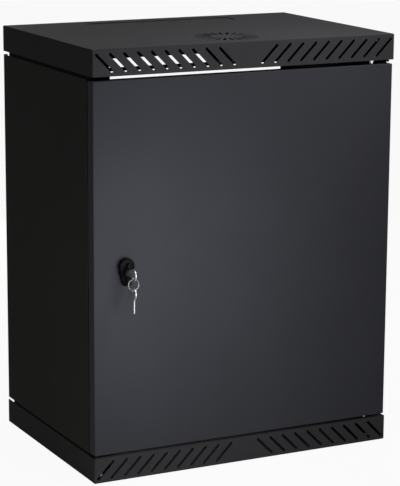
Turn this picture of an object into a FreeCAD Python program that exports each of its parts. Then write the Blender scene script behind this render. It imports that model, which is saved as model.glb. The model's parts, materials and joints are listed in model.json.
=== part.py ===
import FreeCAD, Part
import math
import os

import Sketcher

# Wall mount network cabinet, 19-inch rack pitch, flat-pack sheet steel.
# Frame: X to the right, Y to the back, Z up, in millimetres; the origin is the
# centre of the bottom cover's underside. Every size below is a cell of the
# document's spreadsheet, and every sub-part is bound to those cells.

os.makedirs("parts", exist_ok=True)
doc = FreeCAD.newDocument("network_cabinet")
sheet = doc.addObject("Spreadsheet::Sheet", "sizes")
Vector = FreeCAD.Vector
Rotation = FreeCAD.Rotation


class Size:
    """A length that knows its value and the spreadsheet expression behind it."""

    def __init__(self, value, text):
        self.value = float(value)
        self.text = text

    def _join(self, other, sign, swap=False):
        if not isinstance(other, Size):
            other = Size(other, repr(other))
        a, b = (other, self) if swap else (self, other)
        results = {"+": lambda: a.value + b.value, "-": lambda: a.value - b.value,
                   "*": lambda: a.value * b.value, "/": lambda: a.value / b.value}
        return Size(results[sign](), "(%s %s %s)" % (a.text, sign, b.text))

    def __add__(self, other):
        return self._join(other, "+")

    def __radd__(self, other):
        return self._join(other, "+", True)

    def __sub__(self, other):
        return self._join(other, "-")

    def __rsub__(self, other):
        return self._join(other, "-", True)

    def __mul__(self, other):
        return self._join(other, "*")

    def __rmul__(self, other):
        return self._join(other, "*", True)

    def __truediv__(self, other):
        return self._join(other, "/")

    def __neg__(self):
        return Size(-self.value, "(-1 * %s)" % self.text)


row_number = 0


def size(alias, value):
    """Write one driving dimension into the spreadsheet and return it."""
    global row_number
    row_number += 1
    sheet.set("A%d" % row_number, alias.replace("_", " "))
    sheet.set("B%d" % row_number, str(value))
    sheet.setAlias("B%d" % row_number, alias)
    return Size(value, "sizes." + alias)


def as_size(number):
    return number if isinstance(number, Size) else Size(number, repr(float(number)))


def whole(number):
    """The largest whole number that is not above the size."""
    return Size(math.floor(number.value), "floor(%s)" % number.text)


# ---------------------------------------------------------------- cabinet
cabinet_width = size("cabinet_width", 600)
cabinet_depth = size("cabinet_depth", 410)
cabinet_height = size("cabinet_height", 770)
cover_sheet = size("cover_sheet", 1.2)
cover_bend = size("cover_bend", 2.2)
lid_lip = size("lid_lip", 47)
base_lip = size("base_lip", 46)
cover_hem = size("cover_hem", 20)
hem_end_gap = size("hem_end_gap", 3.5)

slot_pitch = size("slot_pitch", 26.2)
slot_inner_offset = size("slot_inner_offset", 42.2)
slot_length = size("slot_length", 46)
slot_width = size("slot_width", 4.8)
slots_per_side = size("slots_per_side", 10)
slot_tilt = 45.0

fan_setback = size("fan_setback", 88)
fan_slot_start = size("fan_slot_start", 31)
fan_slot_end = size("fan_slot_end", 57)
fan_slot_width = size("fan_slot_width", 5)
fan_slot_count = size("fan_slot_count", 24)
fan_screw_pitch = size("fan_screw_pitch", 105)
fan_screw_hole = size("fan_screw_hole", 4.5)

cable_entry_width = size("cable_entry_width", 300)
cable_entry_depth = size("cable_entry_depth", 45)
cable_entry_setback = size("cable_entry_setback", 34)
cable_entry_corner = size("cable_entry_corner", 6)
cable_plate_overlap = size("cable_plate_overlap", 11)
cable_plate_sheet = size("cable_plate_sheet", 1.5)

# ---------------------------------------------------------------- side panels
panel_sheet = size("panel_sheet", 1.2)
panel_front = size("panel_front", 25)
panel_gap_top = size("panel_gap_top", 6.5)
panel_gap_bottom = size("panel_gap_bottom", 5)
panel_rear_return = size("panel_rear_return", 8)
panel_bend = size("panel_bend", 2)

# ---------------------------------------------------------------- frame
frame_sheet = size("frame_sheet", 1.5)
upright_setback = size("upright_setback", 55)
upright_face = size("upright_face", 53.3)
upright_leg = size("upright_leg", 30)
upright_lip = size("upright_lip", 12)
tie_depth = size("tie_depth", 36)
tie_drop = size("tie_drop", 2.3)
rear_standoff = size("rear_standoff", 26)
rear_post_face = size("rear_post_face", 19.5)
rear_post_leg = size("rear_post_leg", 30)
side_rail_width = size("side_rail_width", 40)
side_rail_height = size("side_rail_height", 78)
side_rail_front = size("side_rail_front", 15)
side_rail_web_front = size("side_rail_web_front", 92)
side_rail_nose_gap = size("side_rail_nose_gap", 1.5)
side_rail_slot = size("side_rail_slot", 7)
side_rail_slot_margin = size("side_rail_slot_margin", 12)
upper_bar_height = size("upper_bar_height", 93)
lower_bar_height = size("lower_bar_height", 78)
bar_notch_width = size("bar_notch_width", 250)
bar_notch_height = size("bar_notch_height", 21)
wall_bar_lip = size("wall_bar_lip", 12)
wall_bar_end_gap = size("wall_bar_end_gap", 13)
wall_slot_inset = size("wall_slot_inset", 75)
wall_slot_length = size("wall_slot_length", 20)
wall_slot_width = size("wall_slot_width", 9)

# ---------------------------------------------------------------- 19-inch rails
rack_unit = size("rack_unit", 44.45)
rack_inset = size("rack_inset", 75)
rack_hole_offset = size("rack_hole_offset", 7.55)
rack_square = size("rack_square", 9.5)
rack_first_hole = size("rack_first_hole", 6.35)
rack_hole_pitch = size("rack_hole_pitch", 15.875)
rack_rail_sheet = size("rack_rail_sheet", 2)
rack_rail_setback = size("rack_rail_setback", 94)
rack_rail_leg = size("rack_rail_leg", 40)
rack_rail_end_gap = size("rack_rail_end_gap", 3.5)

# ---------------------------------------------------------------- door and hinge
door_sheet = size("door_sheet", 1.2)
door_return = size("door_return", 22)
door_hem = size("door_hem", 12)
door_bend = size("door_bend", 1.6)
door_gap_top = size("door_gap_top", 7.5)
door_gap_bottom = size("door_gap_bottom", 5)
door_gap_lock_side = size("door_gap_lock_side", 0.6)
door_gap_hinge_side = size("door_gap_hinge_side", 3)
stiffener_width = size("stiffener_width", 64)
stiffener_crown = size("stiffener_crown", 36)
stiffener_height = size("stiffener_height", 15)
stiffener_end_gap = size("stiffener_end_gap", 30)
pin_inset = size("pin_inset", 40.5)
pin_setback = size("pin_setback", 12)
pin_diameter = size("pin_diameter", 6)
pin_fit = size("pin_fit", 0.1)
pin_reach = size("pin_reach", 7)
pin_collar_diameter = size("pin_collar_diameter", 10)
pin_collar_thickness = size("pin_collar_thickness", 2)
pin_collar_drop = size("pin_collar_drop", 13.5)
pin_tail = size("pin_tail", 9)
pin_grip_length = size("pin_grip_length", 14)
pin_grip_diameter = size("pin_grip_diameter", 4)
hinge_bracket_width = size("hinge_bracket_width", 24)
hinge_bracket_height = size("hinge_bracket_height", 34)
hinge_bracket_reach = size("hinge_bracket_reach", 18)
spring_diameter = size("spring_diameter", 9.4)
spring_wire = size("spring_wire", 1.1)
seat_gap = size("seat_gap", 0.3)

# ---------------------------------------------------------------- lock
lock_inset = size("lock_inset", 59)
lock_height = size("lock_height", 381.5)
rose_diameter = size("rose_diameter", 24)
rose_thickness = size("rose_thickness", 4)
housing_diameter = size("housing_diameter", 19)
housing_depth = size("housing_depth", 23)
spindle_diameter = size("spindle_diameter", 14)
spindle_end = size("spindle_end", 28)
knob_radius = size("knob_radius", 14.5)
knob_rise = size("knob_rise", 10)
knob_drop = size("knob_drop", 24.5)
knob_tip_width = size("knob_tip_width", 15)
knob_body = size("knob_body", 10)
knob_round = size("knob_round", 4)
knob_bevel = size("knob_bevel", 3)
wing_length = size("wing_length", 7)
nose_bevel = size("nose_bevel", 1)
wing_top_width = size("wing_top_width", 7)
wing_tip_width = size("wing_tip_width", 10)
wing_drop = size("wing_drop", 21)
nose_diameter = size("nose_diameter", 19)
nose_length = size("nose_length", 9)
plug_diameter = size("plug_diameter", 12)
plug_length = size("plug_length", 26)
keyway_width = size("keyway_width", 2.2)
keyway_height = size("keyway_height", 7.6)
key_thickness = size("key_thickness", 2)
key_blade_height = size("key_blade_height", 7.2)
key_blade_length = size("key_blade_length", 22)
key_neck = size("key_neck", 3)
key_bow = size("key_bow", 22)
key_hole = size("key_hole", 4.6)
key_hole_rim = size("key_hole_rim", 3)
key_tooth_count = size("key_tooth_count", 4)
ring_diameter = size("ring_diameter", 19.6)
ring_wire = size("ring_wire", 1.4)
ring_play = size("ring_play", 0.5)
cam_width = size("cam_width", 16)
cam_reach = size("cam_reach", 26)
cam_thickness = size("cam_thickness", 2.5)
cam_spindle = size("cam_spindle", 9)
cam_nut_flats = size("cam_nut_flats", 15)
cam_nut_thickness = size("cam_nut_thickness", 3.5)
lock_nut_flats = size("lock_nut_flats", 24)
lock_nut_thickness = size("lock_nut_thickness", 5)
lock_fit = size("lock_fit", 0.1)
striker_height = size("striker_height", 76)
striker_front = size("striker_front", 25.5)
striker_leg = size("striker_leg", 28.5)
striker_catch = size("striker_catch", 18.5)
striker_foot = size("striker_foot", 16)

# ---------------------------------------------------------------- fasteners
FASTENER_SIDES = 8
stud_diameter = size("stud_diameter", 6)
stud_length = size("stud_length", 14)
stud_hole = size("stud_hole", 6.6)
nut_flats = size("nut_flats", 10)
nut_thickness = size("nut_thickness", 5)
stud_inset = size("stud_inset", 23)
stud_front = size("stud_front", 24)
stud_rear = size("stud_rear", 60)
panel_stud_diameter = size("panel_stud_diameter", 5)
panel_stud_length = size("panel_stud_length", 13)
panel_stud_hole = size("panel_stud_hole", 5.6)
panel_stud_margin = size("panel_stud_margin", 100)
stud_shoulder = size("stud_shoulder", 9)
rail_bolt_diameter = size("rail_bolt_diameter", 6)
rail_bolt_head = size("rail_bolt_head", 11)
rail_bolt_head_height = size("rail_bolt_head_height", 4)
earth_stud_length = size("earth_stud_length", 20)
earth_stud_inset = size("earth_stud_inset", 120)
earth_stud_setback = size("earth_stud_setback", 300)

# ---------------------------------------------------------------- worked out
half_width = cabinet_width / 2
front = -cabinet_depth / 2
back = cabinet_depth / 2
lid_edge = cabinet_height - lid_lip
door_bottom = base_lip + door_gap_bottom
door_top = lid_edge - door_gap_top
door_left = -half_width + door_gap_lock_side
door_right = half_width - door_gap_hinge_side
panel_bottom = base_lip + panel_gap_bottom
panel_top = lid_edge - panel_gap_top
rail_outer = half_width - cover_sheet
frame_outer = rail_outer - frame_sheet
rail_inner = rail_outer - side_rail_width
tie_top = lid_edge + tie_drop
tie_bottom = base_lip - tie_drop
upright_front = front + upright_setback
post_back = back - rear_standoff
stud_rows = (front + stud_front, back - stud_rear)
rack_bottom = base_lip + rack_rail_end_gap
rack_top = lid_edge - rack_rail_end_gap
rack_length = rack_top - rack_bottom
rack_units = whole(rack_length / rack_unit)
rack_front = front + rack_rail_setback
pin_x = half_width - pin_inset
pin_y = front + pin_setback
lock_x = -half_width + lock_inset
lower_bolt_level = (rack_bottom + cover_sheet + side_rail_height) / 2
upper_bolt_level = (rack_top + cabinet_height - cover_sheet - side_rail_height) / 2


# ================================================================ helpers
def body(name):
    """A PartDesign body whose label is the node's name."""
    made = doc.addObject("PartDesign::Body", name)
    made.Label = name
    return made


def origin_feature(owner, role):
    for feature in owner.Origin.OriginFeatures:
        if feature.Role == role:
            return feature
    raise RuntimeError("no origin feature " + role)


def sketch_on(owner, plane, level=0, centre=(0, 0), turn=0.0):
    """An empty sketch on an origin plane of the body.

    plane is XY, XZ or YZ; level is the plane's place along its third axis;
    centre is where the sketch's own origin lies; turn rotates it in degrees.
    """
    sketch = owner.newObject("Sketcher::SketchObject", owner.Name + "_sketch")
    sketch.AttachmentSupport = (origin_feature(owner, plane + "_Plane"), [""])
    sketch.MapMode = "FlatFace"
    sketch.AttachmentOffset = FreeCAD.Placement(Vector(0, 0, 0), Rotation(Vector(0, 0, 1), turn))
    level = -as_size(level) if plane == "XZ" else as_size(level)
    sketch.setExpression(".AttachmentOffset.Base.z", level.text)
    sketch.setExpression(".AttachmentOffset.Base.x", as_size(centre[0]).text)
    sketch.setExpression(".AttachmentOffset.Base.y", as_size(centre[1]).text)
    return sketch


def pin_point(sketch, geometry, position, x, y):
    """Tie one point of the sketch to (x, y), measured from its origin."""
    for kind, value in (("DistanceX", as_size(x)), ("DistanceY", as_size(y))):
        index = sketch.addConstraint(
            Sketcher.Constraint(kind, -1, 1, geometry, position, value.value))
        sketch.setExpression("Constraints[%d]" % index, value.text)


def polygon(sketch, points):
    """A closed polygon; each corner is tied to its own pair of sizes."""
    corners = [(as_size(x), as_size(y)) for x, y in points]
    first = sketch.GeometryCount
    places = [Vector(x.value, y.value, 0) for x, y in corners]
    for start, end in zip(places, places[1:] + places[:1]):
        sketch.addGeometry(Part.LineSegment(start, end), False)
    count = len(corners)
    for i in range(count):
        sketch.addConstraint(
            Sketcher.Constraint("Coincident", first + i, 2, first + (i + 1) % count, 1))
    for i, (x, y) in enumerate(corners):
        pin_point(sketch, first + i, 1, x, y)
    return sketch


def rectangle(sketch, left, bottom, right, top):
    return polygon(sketch, [(left, bottom), (right, bottom), (right, top), (left, top)])


def round_corners(x, y, diameter, sides):
    """The corners of a regular polygon inside a circle, for small round fastener work."""
    x, y, radius = as_size(x), as_size(y), as_size(diameter) / 2
    turns = [2 * math.pi * i / sides for i in range(sides)]
    return [(x + radius * math.cos(a), y + radius * math.sin(a)) for a in turns]


def circle(sketch, x, y, diameter):
    x, y, radius = as_size(x), as_size(y), as_size(diameter) / 2
    index = sketch.addGeometry(
        Part.Circle(Vector(x.value, y.value, 0), Vector(0, 0, 1), radius.value), False)
    pin_point(sketch, index, 3, x, y)
    tie = sketch.addConstraint(Sketcher.Constraint("Radius", index, radius.value))
    sketch.setExpression("Constraints[%d]" % tie, radius.text)
    return sketch


def slot(sketch, start, end, width):
    """An obround along the sketch's x axis; start and end are its arc centres."""
    start, end, radius = as_size(start), as_size(end), as_size(width) / 2
    normal = Vector(0, 0, 1)
    r = radius.value
    left = sketch.addGeometry(Part.ArcOfCircle(
        Part.Circle(Vector(start.value, 0, 0), normal, r), math.pi / 2, 3 * math.pi / 2), False)
    right = sketch.addGeometry(Part.ArcOfCircle(
        Part.Circle(Vector(end.value, 0, 0), normal, r), -math.pi / 2, math.pi / 2), False)
    lower = sketch.addGeometry(
        Part.LineSegment(Vector(start.value, -r, 0), Vector(end.value, -r, 0)), False)
    upper = sketch.addGeometry(
        Part.LineSegment(Vector(end.value, r, 0), Vector(start.value, r, 0)), False)
    for a, a_end, b, b_end in ((left, 2, lower, 1), (lower, 2, right, 1),
                               (right, 2, upper, 1), (upper, 2, left, 1)):
        sketch.addConstraint(Sketcher.Constraint("Tangent", a, a_end, b, b_end))
    pin_point(sketch, left, 3, start, 0)
    pin_point(sketch, right, 3, end, 0)
    tie = sketch.addConstraint(Sketcher.Constraint("Radius", left, r))
    sketch.setExpression("Constraints[%d]" % tie, radius.text)
    return sketch


def vent(sketch, start, end, width):
    """A punched vent along the sketch's x axis, with a narrowed flat at each end."""
    start, end, half = as_size(start), as_size(end), as_size(width) / 2
    flat = half * math.tan(math.pi / 8)
    return polygon(sketch, [(start - half, -flat), (start - flat, -half), (end + flat, -half),
                            (end + half, -flat), (end + half, flat), (end + flat, half),
                            (start - flat, half), (start - half, flat)])


def extrude(kind, owner, sketch, length, towards):
    """A pad or a pocket; towards is +1 or -1 along the plane's world axis."""
    feature = owner.newObject("PartDesign::" + kind, owner.Name + "_" + kind.lower())
    feature.Profile = sketch
    feature.setExpression("Length", as_size(length).text)
    normal_is_positive = sketch.AttachmentSupport[0][0].Role != "XZ_Plane"
    goes_along_normal = (towards > 0) == normal_is_positive
    if kind == "Pocket":
        goes_along_normal = not goes_along_normal
    feature.Reversed = not goes_along_normal
    sketch.Visibility = False
    return feature


def pad(owner, sketch, length, towards=1):
    return extrude("Pad", owner, sketch, length, towards)


def pocket(owner, sketch, length, towards):
    """Cut a sketch out of the body, and make sure that it did cut."""
    doc.recompute()
    before = owner.Shape.Volume
    feature = extrude("Pocket", owner, sketch, length, towards)
    doc.recompute()
    if not owner.Shape.Volume < before - 1e-6:
        raise RuntimeError("%s: the pocket cuts nothing" % owner.Name)
    return feature


def repeat_along(owner, feature, axis, step, count):
    """Repeat a feature along X, Y or Z of its body."""
    pattern = owner.newObject("PartDesign::LinearPattern", owner.Name + "_row")
    pattern.Originals = [feature]
    pattern.Direction = (origin_feature(owner, axis + "_Axis"), [""])
    pattern.setExpression("Length", (as_size(step) * (as_size(count) - 1)).text)
    pattern.setExpression("Occurrences", as_size(count).text)
    owner.Tip = pattern
    return pattern


def repeat_round(owner, feature, sketch, count):
    """Repeat a feature in a full circle about its sketch's origin."""
    pattern = owner.newObject("PartDesign::PolarPattern", owner.Name + "_circle")
    pattern.Originals = [feature]
    pattern.Axis = (sketch, ["N_Axis"])
    pattern.Angle = 360
    pattern.setExpression("Occurrences", as_size(count).text)
    owner.Tip = pattern
    return pattern


def fillet(owner, radius, chosen):
    """Round the edges of the body that the test picks."""
    doc.recompute()
    base = owner.Tip
    names = ["Edge%d" % (i + 1) for i, edge in enumerate(base.Shape.Edges) if chosen(edge)]
    if not names:
        raise RuntimeError("%s: no edge to round" % owner.Name)
    feature = owner.newObject("PartDesign::Fillet", owner.Name + "_bend")
    feature.Base = (base, names)
    feature.setExpression("Radius", as_size(radius).text)
    return feature


def chamfer(owner, width, chosen):
    """Bevel the edges of the body that the test picks."""
    doc.recompute()
    base = owner.Tip
    names = ["Edge%d" % (i + 1) for i, edge in enumerate(base.Shape.Edges) if chosen(edge)]
    if not names:
        raise RuntimeError("%s: no edge to bevel" % owner.Name)
    feature = owner.newObject("PartDesign::Chamfer", owner.Name + "_bevel")
    feature.Base = (base, names)
    feature.setExpression("Size", as_size(width).text)
    return feature


def is_along(edge, axis):
    """True for a straight edge that is parallel to the axis."""
    ends = edge.Vertexes
    if len(ends) != 2 or edge.Length < 1e-6:
        return False
    run = ends[1].Point - ends[0].Point
    return abs(abs(run.dot(axis)) - edge.Length) < 1e-6


def middle(edge):
    return edge.BoundBox.Center


def near(a, b):
    b = b.value if isinstance(b, Size) else b
    return abs(a - b) < 1e-4


X, Y, Z = Vector(1, 0, 0), Vector(0, 1, 0), Vector(0, 0, 1)


def place(item, x=0, y=0, z=0, turn=None):
    """Put an object at (x, y, z), with an optional fixed rotation."""
    if turn:
        item.Placement = FreeCAD.Placement(Vector(0, 0, 0), turn)
    for axis, value in zip("xyz", (x, y, z)):
        item.setExpression(".Placement.Base." + axis, as_size(value).text)
    return item


def mirrored(name, source):
    """The right-hand piece that matches a left-hand one."""
    made = doc.addObject("Part::Mirroring", name)
    made.Label = name
    made.Source = source
    made.Normal = X
    return made


def cylinder(name, diameter, height, x, y, z, turn=None):
    made = doc.addObject("Part::Cylinder", name)
    made.setExpression("Radius", (as_size(diameter) / 2).text)
    made.setExpression("Height", as_size(height).text)
    return place(made, x, y, z, turn)


def hexagon(name, flats, height, x, y, z, turn=None):
    made = doc.addObject("Part::Prism", name)
    made.Polygon = 6
    made.setExpression("Circumradius", (as_size(flats) / math.sqrt(3)).text)
    made.setExpression("Height", as_size(height).text)
    return place(made, x, y, z, turn)


def rod(name, diameter, height, x, y, z, turn=None):
    """A threaded shank or bore of the small fasteners, drawn with a few sides."""
    made = doc.addObject("Part::Prism", name)
    made.Polygon = FASTENER_SIDES
    made.setExpression("Circumradius", (as_size(diameter) / 2).text)
    made.setExpression("Height", as_size(height).text)
    return place(made, x, y, z, turn)


def fuse(name, shapes):
    made = doc.addObject("Part::MultiFuse", name)
    made.Shapes = shapes
    return made


def cut(name, base, tool):
    made = doc.addObject("Part::Cut", name)
    made.Base = base
    made.Tool = tool
    return made


def group(name, items):
    """Identical fasteners that share one node."""
    made = doc.addObject("Part::Compound", name)
    made.Label = name
    made.Links = items
    return made


TURN_TO = {"+X": Rotation(Y, 90), "-X": Rotation(Y, -90), "+Y": Rotation(X, -90),
           "-Y": Rotation(X, 90), "+Z": None, "-Z": Rotation(X, 180)}


def nut(name, flats, bore, height, x, y, z, turn=None, bore_shape=rod):
    """A hexagon nut; bore_shape is what drew the shank that it sits on."""
    outside = hexagon(name + "_hexagon", flats, height, x, y, z, turn)
    return cut(name, outside, bore_shape(name + "_bore", bore, height, x, y, z, turn))


def screw(name, diameter, length, head, head_height, place_at, head_towards):
    """A screw whose head seats at place_at and whose shank points away from it."""
    x, y, z = [as_size(v) for v in place_at]
    axis, sign = head_towards[1], (1 if head_towards[0] == "+" else -1)
    start = {"X": (x - sign * length, y, z), "Y": (x, y - sign * length, z),
             "Z": (x, y, z - sign * length)}[axis]
    turn = TURN_TO[head_towards]
    shank = rod(name + "_shank", diameter, length, start[0], start[1], start[2], turn)
    cap = hexagon(name + "_head", head, head_height, x, y, z, turn)
    return fuse(name, [shank, cap])


def revolve(owner, sketch, axis_name):
    made = owner.newObject("PartDesign::Revolution", owner.Name + "_turned")
    made.Profile = sketch
    made.ReferenceAxis = (sketch, [axis_name])
    made.Angle = 360
    sketch.Visibility = False
    return made


# ================================================================ covers
def cover(name, upper):
    """A folded tray: top or bottom sheet, three lips and a front hem."""
    piece = body(name)
    lip = lid_lip if upper else base_lip
    outer = cabinet_height if upper else as_size(0)

    def level(depth_in):
        return outer - depth_in if upper else outer + depth_in

    inward = -1 if upper else 1
    lips = sketch_on(piece, "XY", level(0))
    inner_x = half_width - cover_sheet
    polygon(lips, [(-half_width, front), (half_width, front), (half_width, back),
                   (inner_x, back), (inner_x, front + cover_sheet),
                   (-inner_x, front + cover_sheet), (-inner_x, back), (-half_width, back)])
    pad(piece, lips, lip, inward)
    flat = rectangle(sketch_on(piece, "XY", level(0)), -half_width, front, half_width, back)
    pad(piece, flat, cover_sheet, inward)
    hem_x = half_width - hem_end_gap
    hem = rectangle(sketch_on(piece, "XY", level(lip - cover_sheet)),
                    -hem_x, front + cover_sheet / 2, hem_x, front + cover_hem)
    pad(piece, hem, cover_sheet, inward)

    fillet(piece, cover_bend, lambda e: (
        near(middle(e).z, outer) and not near(middle(e).y, back)
        and (near(abs(middle(e).x), half_width) or near(middle(e).y, front))) or (
        is_along(e, Z) and near(abs(middle(e).x), half_width) and near(middle(e).y, front)))

    reach = (slot_length - slot_width) / 2
    for side in (-1, 1):
        lean = side if upper else -side
        first = sketch_on(piece, "XZ", front, (side * slot_inner_offset, level(lip / 2)),
                          slot_tilt * lean)
        vent(first, -reach, reach, slot_width)
        opening = pocket(piece, first, cover_sheet * 2, 1)
        row = repeat_along(piece, opening, "X", slot_pitch, slots_per_side)
        row.Reversed = side < 0

    hole = circle(sketch_on(piece, "XY", level(lip - cover_sheet)), pin_x, pin_y,
                  pin_diameter + 2 * pin_fit)
    pocket(piece, hole, cover_sheet * 2, inward)

    entry = sketch_on(piece, "XY", level(0))
    entry_back = back - cable_entry_setback
    rectangle(entry, -cable_entry_width / 2, entry_back - cable_entry_depth,
              cable_entry_width / 2, entry_back)
    pocket(piece, entry, cover_sheet * 2, inward)
    fillet(piece, cable_entry_corner, lambda e: (
        is_along(e, Z) and near(abs(middle(e).x), cable_entry_width / 2)))
    if upper:
        fan_centre = (0, front + fan_setback)
        first = sketch_on(piece, "XY", outer, fan_centre)
        vent(first, fan_slot_start, fan_slot_end, fan_slot_width)
        repeat_round(piece, pocket(piece, first, cover_sheet * 2, inward), first, fan_slot_count)
        screws = sketch_on(piece, "XY", outer, fan_centre)
        for across in (-1, 1):
            for along in (-1, 1):
                circle(screws, across * fan_screw_pitch / 2, along * fan_screw_pitch / 2,
                       fan_screw_hole)
        pocket(piece, screws, cover_sheet * 2, inward)
    return piece


top_cover = cover("top_cover", True)
bottom_cover = cover("bottom_cover", False)


def cable_plate():
    """The plate that closes the cable entry from inside."""
    piece = body("top_cable_plate")
    entry_back = back - cable_entry_setback
    half = cable_entry_width / 2 + cable_plate_overlap
    outline = rectangle(
        sketch_on(piece, "XY", cabinet_height - cover_sheet - cable_plate_sheet),
        -half, entry_back - cable_entry_depth - cable_plate_overlap / 2,
        half, entry_back + cable_plate_overlap / 2)
    pad(piece, outline, cable_plate_sheet)
    return piece


top_cable_plate = cable_plate()


# ================================================================ sides
def side_panel():
    piece = body("left_side_panel")
    outer, inner = -half_width, -half_width + panel_sheet
    fold = outer + panel_rear_return
    section = sketch_on(piece, "XY", panel_bottom)
    polygon(section, [(outer, front + panel_front), (inner, front + panel_front),
                      (inner, back - panel_sheet), (fold, back - panel_sheet),
                      (fold, back), (outer, back)])
    pad(piece, section, panel_top - panel_bottom)
    fillet(piece, panel_bend, lambda e: (
        is_along(e, Z) and near(middle(e).x, outer) and near(middle(e).y, back)))
    return piece


left_side_panel = side_panel()
right_side_panel = mirrored("right_side_panel", left_side_panel)


def panel_stud_places():
    """(y, z) of the studs that hold one side panel to its uprights."""
    rows = (panel_bottom + panel_stud_margin, panel_top - panel_stud_margin)
    columns = (upright_front + upright_leg / 2, post_back - rear_post_leg / 2)
    return [(y, z) for y in columns for z in rows]


def leg_holes(piece, column, start):
    """Holes in an upright's side leg for the side panel's studs."""
    holes = sketch_on(piece, "YZ", start)
    for z in (panel_bottom + panel_stud_margin, panel_top - panel_stud_margin):
        polygon(holes, round_corners(column, z, panel_stud_hole, FASTENER_SIDES))
    pocket(piece, holes, frame_sheet * 2, 1)


def front_upright():
    piece = body("front_left_upright")
    outer = -frame_outer
    edge = outer + upright_face
    at = upright_front
    low, high = tie_bottom + frame_sheet, tie_top - frame_sheet
    section = sketch_on(piece, "XY", low)
    polygon(section, [(outer, at), (edge, at), (edge, at + upright_lip),
                      (edge - frame_sheet, at + upright_lip),
                      (edge - frame_sheet, at + frame_sheet),
                      (outer + frame_sheet, at + frame_sheet),
                      (outer + frame_sheet, at + upright_leg), (outer, at + upright_leg)])
    pad(piece, section, high - low)
    leg_holes(piece, at + upright_leg / 2, outer)
    return piece


def rear_upright():
    piece = body("rear_left_upright")
    outer = -frame_outer
    low, high = cover_sheet + frame_sheet, cabinet_height - cover_sheet - frame_sheet
    section = sketch_on(piece, "XY", low)
    at = post_back
    polygon(section, [(outer, at), (outer, at - rear_post_leg),
                      (outer + frame_sheet, at - rear_post_leg),
                      (outer + frame_sheet, at - frame_sheet),
                      (outer + rear_post_face, at - frame_sheet), (outer + rear_post_face, at)])
    pad(piece, section, high - low)
    leg_holes(piece, at - rear_post_leg / 2, outer)
    return piece


front_left_upright = front_upright()
front_right_upright = mirrored("front_right_upright", front_left_upright)
rear_left_upright = rear_upright()
rear_right_upright = mirrored("rear_right_upright", rear_left_upright)


def tie(name, low):
    """The flat strip that spaces the two front uprights."""
    piece = body(name)
    strip = rectangle(sketch_on(piece, "XY", low), -frame_outer, upright_front,
                      frame_outer, upright_front + tie_depth)
    pad(piece, strip, frame_sheet)
    return piece


front_top_tie = tie("front_top_tie", tie_top - frame_sheet)
front_bottom_tie = tie("front_bottom_tie", tie_bottom)


def side_rail(name, upper):
    """The channel that joins a cover to the uprights and carries the 19-inch rail."""
    piece = body(name)
    against = cabinet_height - cover_sheet if upper else cover_sheet
    nose = door_top + side_rail_nose_gap if upper else door_bottom - side_rail_nose_gap
    free = against - side_rail_height if upper else against + side_rail_height
    inward = -1 if upper else 1
    start = front + side_rail_front
    web = sketch_on(piece, "YZ", -rail_outer)
    polygon(web, [(start, against), (start, nose), (upright_front, nose),
                  (upright_front, free), (post_back, free), (post_back, against)])
    pad(piece, web, frame_sheet)
    flange = rectangle(sketch_on(piece, "XY", against), -rail_outer, start, -rail_inner, post_back)
    pad(piece, flange, frame_sheet, inward)
    tie_face = tie_top if upper else tie_bottom
    tab = rectangle(sketch_on(piece, "XZ", upright_front), -frame_outer, tie_face,
                    upright_face - frame_outer, against)
    pad(piece, tab, frame_sheet)
    inner = rectangle(sketch_on(piece, "YZ", -rail_inner), front + side_rail_web_front,
                      against, post_back, free)
    pad(piece, inner, frame_sheet, -1)
    bolt_level = upper_bolt_level if upper else lower_bolt_level
    slot_start = front + side_rail_web_front + side_rail_slot_margin
    slot_end = post_back - side_rail_slot_margin
    long_slot = sketch_on(piece, "YZ", -rail_inner, (0, bolt_level))
    vent(long_slot, slot_start, slot_end, side_rail_slot)
    pocket(piece, long_slot, frame_sheet * 2, -1)
    holes = sketch_on(piece, "XY", against)
    for y in stud_rows:
        polygon(holes, round_corners(-half_width + stud_inset, y, stud_hole, FASTENER_SIDES))
    pocket(piece, holes, frame_sheet * 2, inward)
    return piece


upper_left_side_rail = side_rail("upper_left_side_rail", True)
upper_right_side_rail = mirrored("upper_right_side_rail", upper_left_side_rail)
lower_left_side_rail = side_rail("lower_left_side_rail", False)
lower_right_side_rail = mirrored("lower_right_side_rail", lower_left_side_rail)

bar_half = half_width - wall_bar_end_gap


def wall_bar(name, low, height):
    """A lipped channel welded across the rear posts; it takes the wall screws."""
    piece = body(name)
    high = low + height
    near_y, thin = post_back, frame_sheet
    section = sketch_on(piece, "YZ", -bar_half)
    polygon(section, [(near_y, low), (back, low), (back, high), (near_y, high),
                      (near_y, high - wall_bar_lip), (near_y + thin, high - wall_bar_lip),
                      (near_y + thin, high - thin), (back - thin, high - thin),
                      (back - thin, low + thin), (near_y + thin, low + thin),
                      (near_y + thin, low + wall_bar_lip), (near_y, low + wall_bar_lip)])
    pad(piece, section, 2 * bar_half)
    reach = (wall_slot_length - wall_slot_width) / 2
    for side in (-1, 1):
        hole = sketch_on(piece, "XZ", back - thin,
                         (side * (half_width - wall_slot_inset), low + height / 2))
        pocket(piece, slot(hole, -reach, reach, wall_slot_width), thin * 2, 1)
    return piece


upper_bar_low = cabinet_height - cover_sheet - upper_bar_height
rear_top_rail = wall_bar("rear_top_rail", upper_bar_low, upper_bar_height)
rear_bottom_rail = wall_bar("rear_bottom_rail", cover_sheet, lower_bar_height)
cable_notch = rectangle(sketch_on(rear_top_rail, "XZ", post_back), -bar_notch_width / 2,
                        upper_bar_low, bar_notch_width / 2, upper_bar_low + bar_notch_height)
pocket(rear_top_rail, cable_notch, rear_standoff + frame_sheet, 1)


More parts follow.
